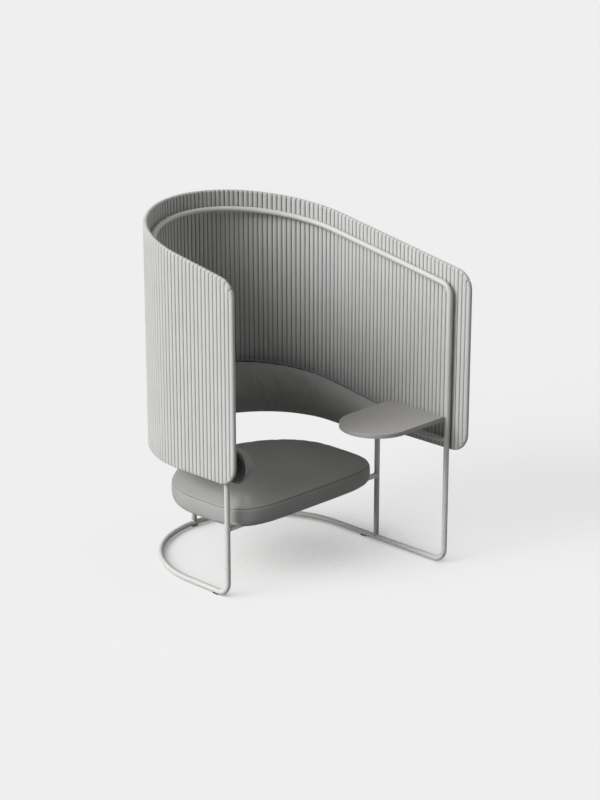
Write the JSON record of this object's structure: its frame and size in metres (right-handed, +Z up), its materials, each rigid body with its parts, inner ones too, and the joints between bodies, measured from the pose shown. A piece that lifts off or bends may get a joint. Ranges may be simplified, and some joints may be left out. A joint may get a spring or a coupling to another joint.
{
  "type": "high back lounge chair",
  "caption": "Low lounge chair on a bent tube frame, with a horseshoe backrest, a tall wrap-around ribbed acoustic screen and a small fixed side table",
  "frame": {"origin": "on the floor, in the middle of the chair's outline", "axes": "+X to the side table, on the sitter's left; -Y to the front, the way the sitter faces; +Z up"},
  "size_m": [0.922, 1.1359, 1.4171],
  "materials": {
    "frame_paint": "fine matt powder coat, warm light grey",
    "hardware_steel": "zinc plated",
    "glide_plastic": "matt black",
    "board_wood": "raw plywood",
    "seat_fabric": "smooth grey upholstery with a fine grain",
    "shell_plastic": "matt black",
    "screen_board": "felt wrapped edge",
    "screen_felt": "light grey felt with upright ribs",
    "table_laminate": "smooth matt laminate, warm mid grey"
  },
  "bodies": {
    "root": {"floor_rail": "frame_paint", "left_leg": "frame_paint", "right_leg": "frame_paint", "top_rail": "frame_paint", "top_bends": "frame_paint", "screen_rail": "frame_paint", "side_post": "frame_paint", "rear_post": "frame_paint", "seat_cross_bar": "frame_paint", "seat_spine_bar": "frame_paint", "backrest_bosses": "frame_paint", "screen_bosses": "frame_paint", "table_pin": "frame_paint", "table_bracket": "frame_paint", "seat_plates": "hardware_steel", "seat_screws": "hardware_steel", "backrest_screws": "hardware_steel", "screen_screws": "hardware_steel", "table_screws": "hardware_steel", "glides": "glide_plastic", "seat_board": "board_wood", "seat_cushion": "seat_fabric", "backrest_cushion": "seat_fabric", "backrest_shell": "shell_plastic", "screen_core": "screen_board", "screen_inner_cover": "screen_felt", "screen_outer_cover": "screen_felt", "table_top": "table_laminate"}
  },
  "joints": []
}
